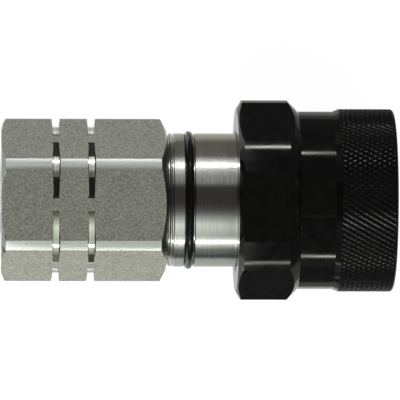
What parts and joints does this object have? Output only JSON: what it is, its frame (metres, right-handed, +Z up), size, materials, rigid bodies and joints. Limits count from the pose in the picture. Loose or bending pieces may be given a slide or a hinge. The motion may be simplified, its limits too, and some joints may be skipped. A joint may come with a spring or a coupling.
{
  "type": "flat face hydraulic coupler",
  "caption": "Screw-to-connect flat face hydraulic coupler half: hexagonal threaded port body, turned neck with O-ring, turning and sliding black union sleeve, sprung flat valve.",
  "frame": {"origin": "centre of the port face", "axes": "+X along the coupler's axis from the port to the mating end, +Z up and square to a flat of both hexagons"},
  "size_m": [0.0859, 0.0438, 0.041],
  "materials": {
    "zinc_plate": "matt grainy zinc plate",
    "bright_steel": "fine turned",
    "black_steel": "smooth black plate",
    "nitrile": "smooth",
    "ptfe": "matt",
    "spring_steel": "drawn",
    "bronze": "turned"
  },
  "bodies": {
    "coupler_body": {"port_adaptor": "zinc_plate", "front_body": "bright_steel", "neck_o_ring": "nitrile", "joint_o_ring": "nitrile", "joint_backup_ring": "ptfe", "interface_o_ring": "nitrile", "interface_backup_ring": "ptfe", "stem_spider": "bright_steel", "valve_stem": "bright_steel", "stem_lock_washer": "spring_steel", "stem_nut": "zinc_plate", "poppet_energiser_ring": "nitrile", "poppet_seal_ring": "ptfe", "valve_spring": "spring_steel"},
    "thrust_ring": {"sleeve_thrust_ring": "bronze"},
    "union_sleeve": {"union_sleeve": "black_steel", "sleeve_snap_ring": "spring_steel"},
    "valve_sleeve": {"valve_sleeve": "bright_steel"}
  },
  "joints": [
    {"name": "union_sleeve_slide", "type": "slide", "parent": "coupler_body", "child": "thrust_ring", "axis": [-1, 0, 0], "range_m": [0, 0.014]},
    {"name": "union_sleeve_turn", "type": "hinge", "parent": "thrust_ring", "child": "union_sleeve", "pos_m": [0.0568, 0, 0], "axis": [1, 0, 0], "continuous": true},
    {"name": "valve_sleeve_slide", "type": "slide", "parent": "coupler_body", "child": "valve_sleeve", "axis": [-1, 0, 0], "range_m": [0, 0.009], "stiffness_N_per_m": 1500, "springref_m": -0.015, "deforming": ["valve_spring"]}
  ]
}
